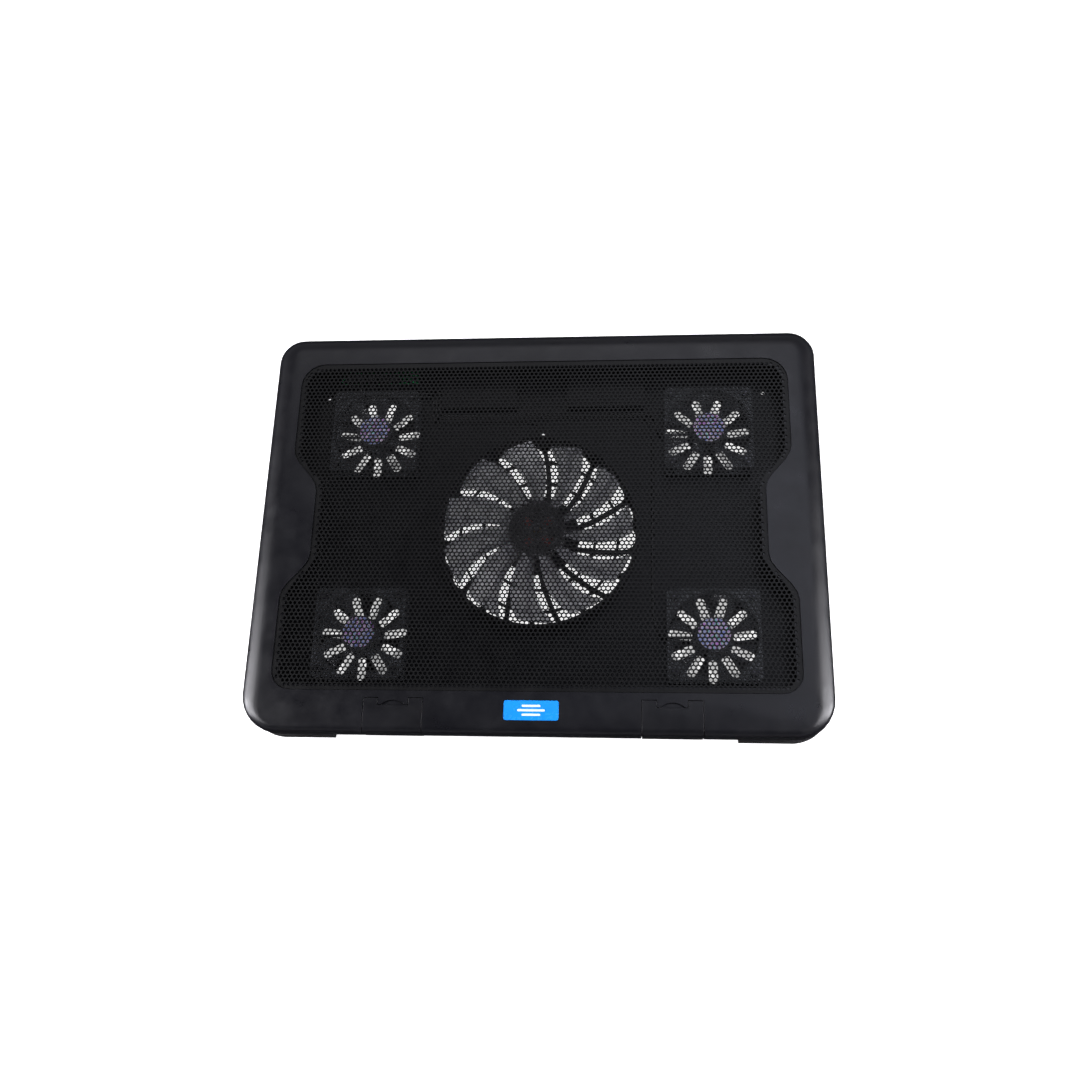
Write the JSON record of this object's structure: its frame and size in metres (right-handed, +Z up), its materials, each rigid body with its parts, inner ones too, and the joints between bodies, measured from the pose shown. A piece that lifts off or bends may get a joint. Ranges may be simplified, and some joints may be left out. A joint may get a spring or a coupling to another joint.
{
  "type": "laptop cooling pad",
  "caption": "Flat laptop cooling pad: black housing with a metal mesh top, a large center fan, small corner fans, flip-up front stops and fold-out rear feet.",
  "frame": {"origin": "on the table, under the middle of the pad's box", "axes": "+X to the right, +Y to the back edge, +Z up, as it is used"},
  "size_m": [0.38, 0.284, 0.028],
  "materials": {
    "shell_plastic": "fine satin moulded texture, near black with a cool tint",
    "mesh_metal": "black powder coat on perforated steel",
    "badge_blue": "gloss azure",
    "badge_print": "pale gloss print",
    "stop_plastic": "satin, as the shell",
    "foot_plastic": "satin",
    "rubber": "matt",
    "pin_steel": "ground steel wire",
    "smoke_plastic": "see-through smoke grey",
    "clear_plastic": "clear, slightly clouded",
    "magnet": "bonded ferrite",
    "bronze": "sintered, oily",
    "core_steel": "stamped laminations",
    "copper": "enamelled copper wire",
    "board": "green solder mask",
    "socket_metal": "tinned steel",
    "switch_metal": "tinned steel",
    "knob_plastic": "satin",
    "plug_plastic": "black nylon",
    "lead_skin": "soft black vinyl",
    "screw_steel": "blackened steel"
  },
  "bodies": {
    "housing": {"top_shell": "shell_plastic", "mesh_panel": "mesh_metal", "bottom_shell": "shell_plastic", "badge_plate": "badge_blue", "badge_mark": "badge_print", "left_stop_pin": "pin_steel", "right_stop_pin": "pin_steel", "left_foot_pin": "pin_steel", "right_foot_pin": "pin_steel", "left_front_pad": "rubber", "right_front_pad": "rubber", "rear_pads": "rubber", "center_bearing": "bronze", "center_stator": "core_steel", "center_coils": "copper", "control_board": "board", "outer_usb_socket": "socket_metal", "inner_usb_socket": "socket_metal", "switch_body": "switch_metal", "lead_plugs": "plug_plastic", "fan_leads": "lead_skin", "shell_screws": "screw_steel", "fan_screws": "screw_steel", "board_screws": "screw_steel", "front_left_frame": "clear_plastic", "front_left_bearing": "bronze", "front_left_stator": "core_steel", "front_right_frame": "clear_plastic", "front_right_bearing": "bronze", "front_right_stator": "core_steel", "rear_left_frame": "clear_plastic", "rear_left_bearing": "bronze", "rear_left_stator": "core_steel", "rear_right_frame": "clear_plastic", "rear_right_bearing": "bronze", "rear_right_stator": "core_steel"},
    "center_fan": {"center_rotor": "smoke_plastic", "center_magnet": "magnet", "center_shaft": "pin_steel"},
    "front_left_fan": {"front_left_rotor": "clear_plastic", "front_left_magnet": "magnet", "front_left_shaft": "pin_steel"},
    "front_right_fan": {"front_right_rotor": "clear_plastic", "front_right_magnet": "magnet", "front_right_shaft": "pin_steel"},
    "rear_left_fan": {"rear_left_rotor": "clear_plastic", "rear_left_magnet": "magnet", "rear_left_shaft": "pin_steel"},
    "rear_right_fan": {"rear_right_rotor": "clear_plastic", "rear_right_magnet": "magnet", "rear_right_shaft": "pin_steel"},
    "left_stop_flap": {"left_stop": "stop_plastic"},
    "right_stop_flap": {"right_stop": "stop_plastic"},
    "left_foot": {"left_rear_foot": "foot_plastic", "left_foot_tip": "rubber"},
    "right_foot": {"right_rear_foot": "foot_plastic", "right_foot_tip": "rubber"},
    "switch_slider": {"switch_knob": "knob_plastic"}
  },
  "joints": [
    {"name": "center_fan_spin", "type": "hinge", "parent": "housing", "child": "center_fan", "pos_m": [0, -0.003, 0.015], "axis": [0, 0, 1], "continuous": true},
    {"name": "front_left_fan_spin", "type": "hinge", "parent": "housing", "child": "front_left_fan", "pos_m": [-0.116, -0.0755, 0.015], "axis": [0, 0, 1], "continuous": true},
    {"name": "front_right_fan_spin", "type": "hinge", "parent": "housing", "child": "front_right_fan", "pos_m": [0.116, -0.0755, 0.015], "axis": [0, 0, 1], "continuous": true},
    {"name": "rear_left_fan_spin", "type": "hinge", "parent": "housing", "child": "rear_left_fan", "pos_m": [-0.116, 0.0695, 0.015], "axis": [0, 0, 1], "continuous": true},
    {"name": "rear_right_fan_spin", "type": "hinge", "parent": "housing", "child": "rear_right_fan", "pos_m": [0.116, 0.0695, 0.015], "axis": [0, 0, 1], "continuous": true},
    {"name": "left_stop_hinge", "type": "hinge", "parent": "housing", "child": "left_stop_flap", "pos_m": [-0.0885, -0.1375, 0.019], "axis": [1, 0, 0], "range_deg": [0, 90]},
    {"name": "right_stop_hinge", "type": "hinge", "parent": "housing", "child": "right_stop_flap", "pos_m": [0.0885, -0.1375, 0.019], "axis": [1, 0, 0], "range_deg": [0, 90]},
    {"name": "left_foot_hinge", "type": "hinge", "parent": "housing", "child": "left_foot", "pos_m": [-0.045, 0.13, 0.0064], "axis": [1, 0, 0], "range_deg": [0, 100]},
    {"name": "right_foot_hinge", "type": "hinge", "parent": "housing", "child": "right_foot", "pos_m": [0.045, 0.13, 0.0064], "axis": [1, 0, 0], "range_deg": [0, 100]},
    {"name": "power_switch_slide", "type": "slide", "parent": "housing", "child": "switch_slider", "axis": [1, 0, 0], "range_m": [0, 0.003]}
  ]
}
